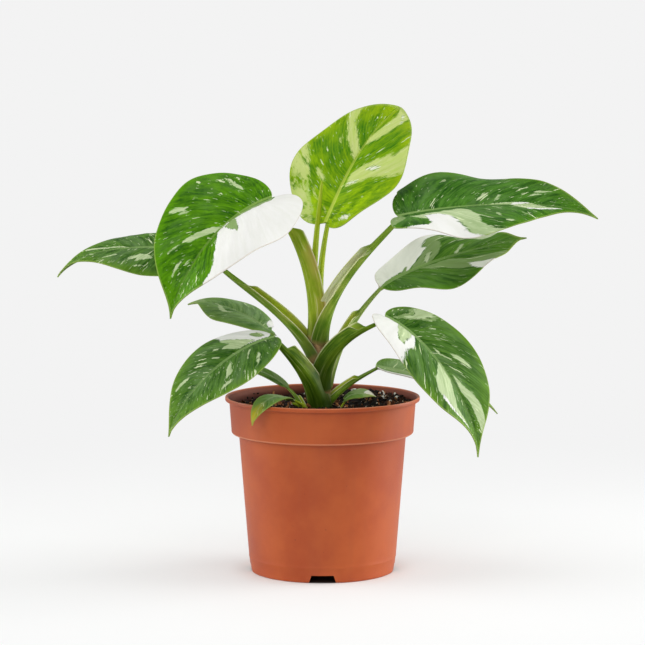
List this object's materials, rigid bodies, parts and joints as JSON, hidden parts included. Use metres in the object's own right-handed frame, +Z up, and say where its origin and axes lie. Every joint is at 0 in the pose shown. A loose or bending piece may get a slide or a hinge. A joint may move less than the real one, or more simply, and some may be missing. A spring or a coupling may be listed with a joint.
{
  "type": "potted white princess philodendron",
  "caption": "Small white-variegated foliage plant with heart-shaped pointed leaves on sheathed stalks, growing in a round tapered plastic nursery pot with drain slots.",
  "frame": {"origin": "middle of the pot's foot, on the surface that the pot stands on", "axes": "+Z up along the pot's axis, -Y towards the plant's front, +X to the right seen from the front"},
  "size_m": [0.3342, 0.138, 0.2868],
  "materials": {
    "pot_plastic": "satin terracotta coloured plastic",
    "potting_soil": "moist dark peat mix with bark and perlite",
    "stem": "olive green stem with brown leaf scars",
    "young_leaf": "yellow green young leaf with pale streaks",
    "leaf": "satin dark green leaf with white, cream and sage streaks and sectors"
  },
  "bodies": {
    "root": {"pot": "pot_plastic", "soil": "potting_soil", "stem": "stem", "rolled_leaf": "young_leaf", "top_leaf": "young_leaf", "left_large_leaf": "leaf", "right_large_leaf": "leaf", "far_left_leaf": "leaf", "right_back_leaf": "leaf", "right_front_leaf": "leaf", "small_left_leaf": "leaf", "left_low_leaf": "leaf", "right_low_leaf": "leaf", "strap_leaf": "leaf", "rim_leaf": "leaf", "soil_leaf": "leaf", "side_shoot": "stem"}
  },
  "joints": []
}
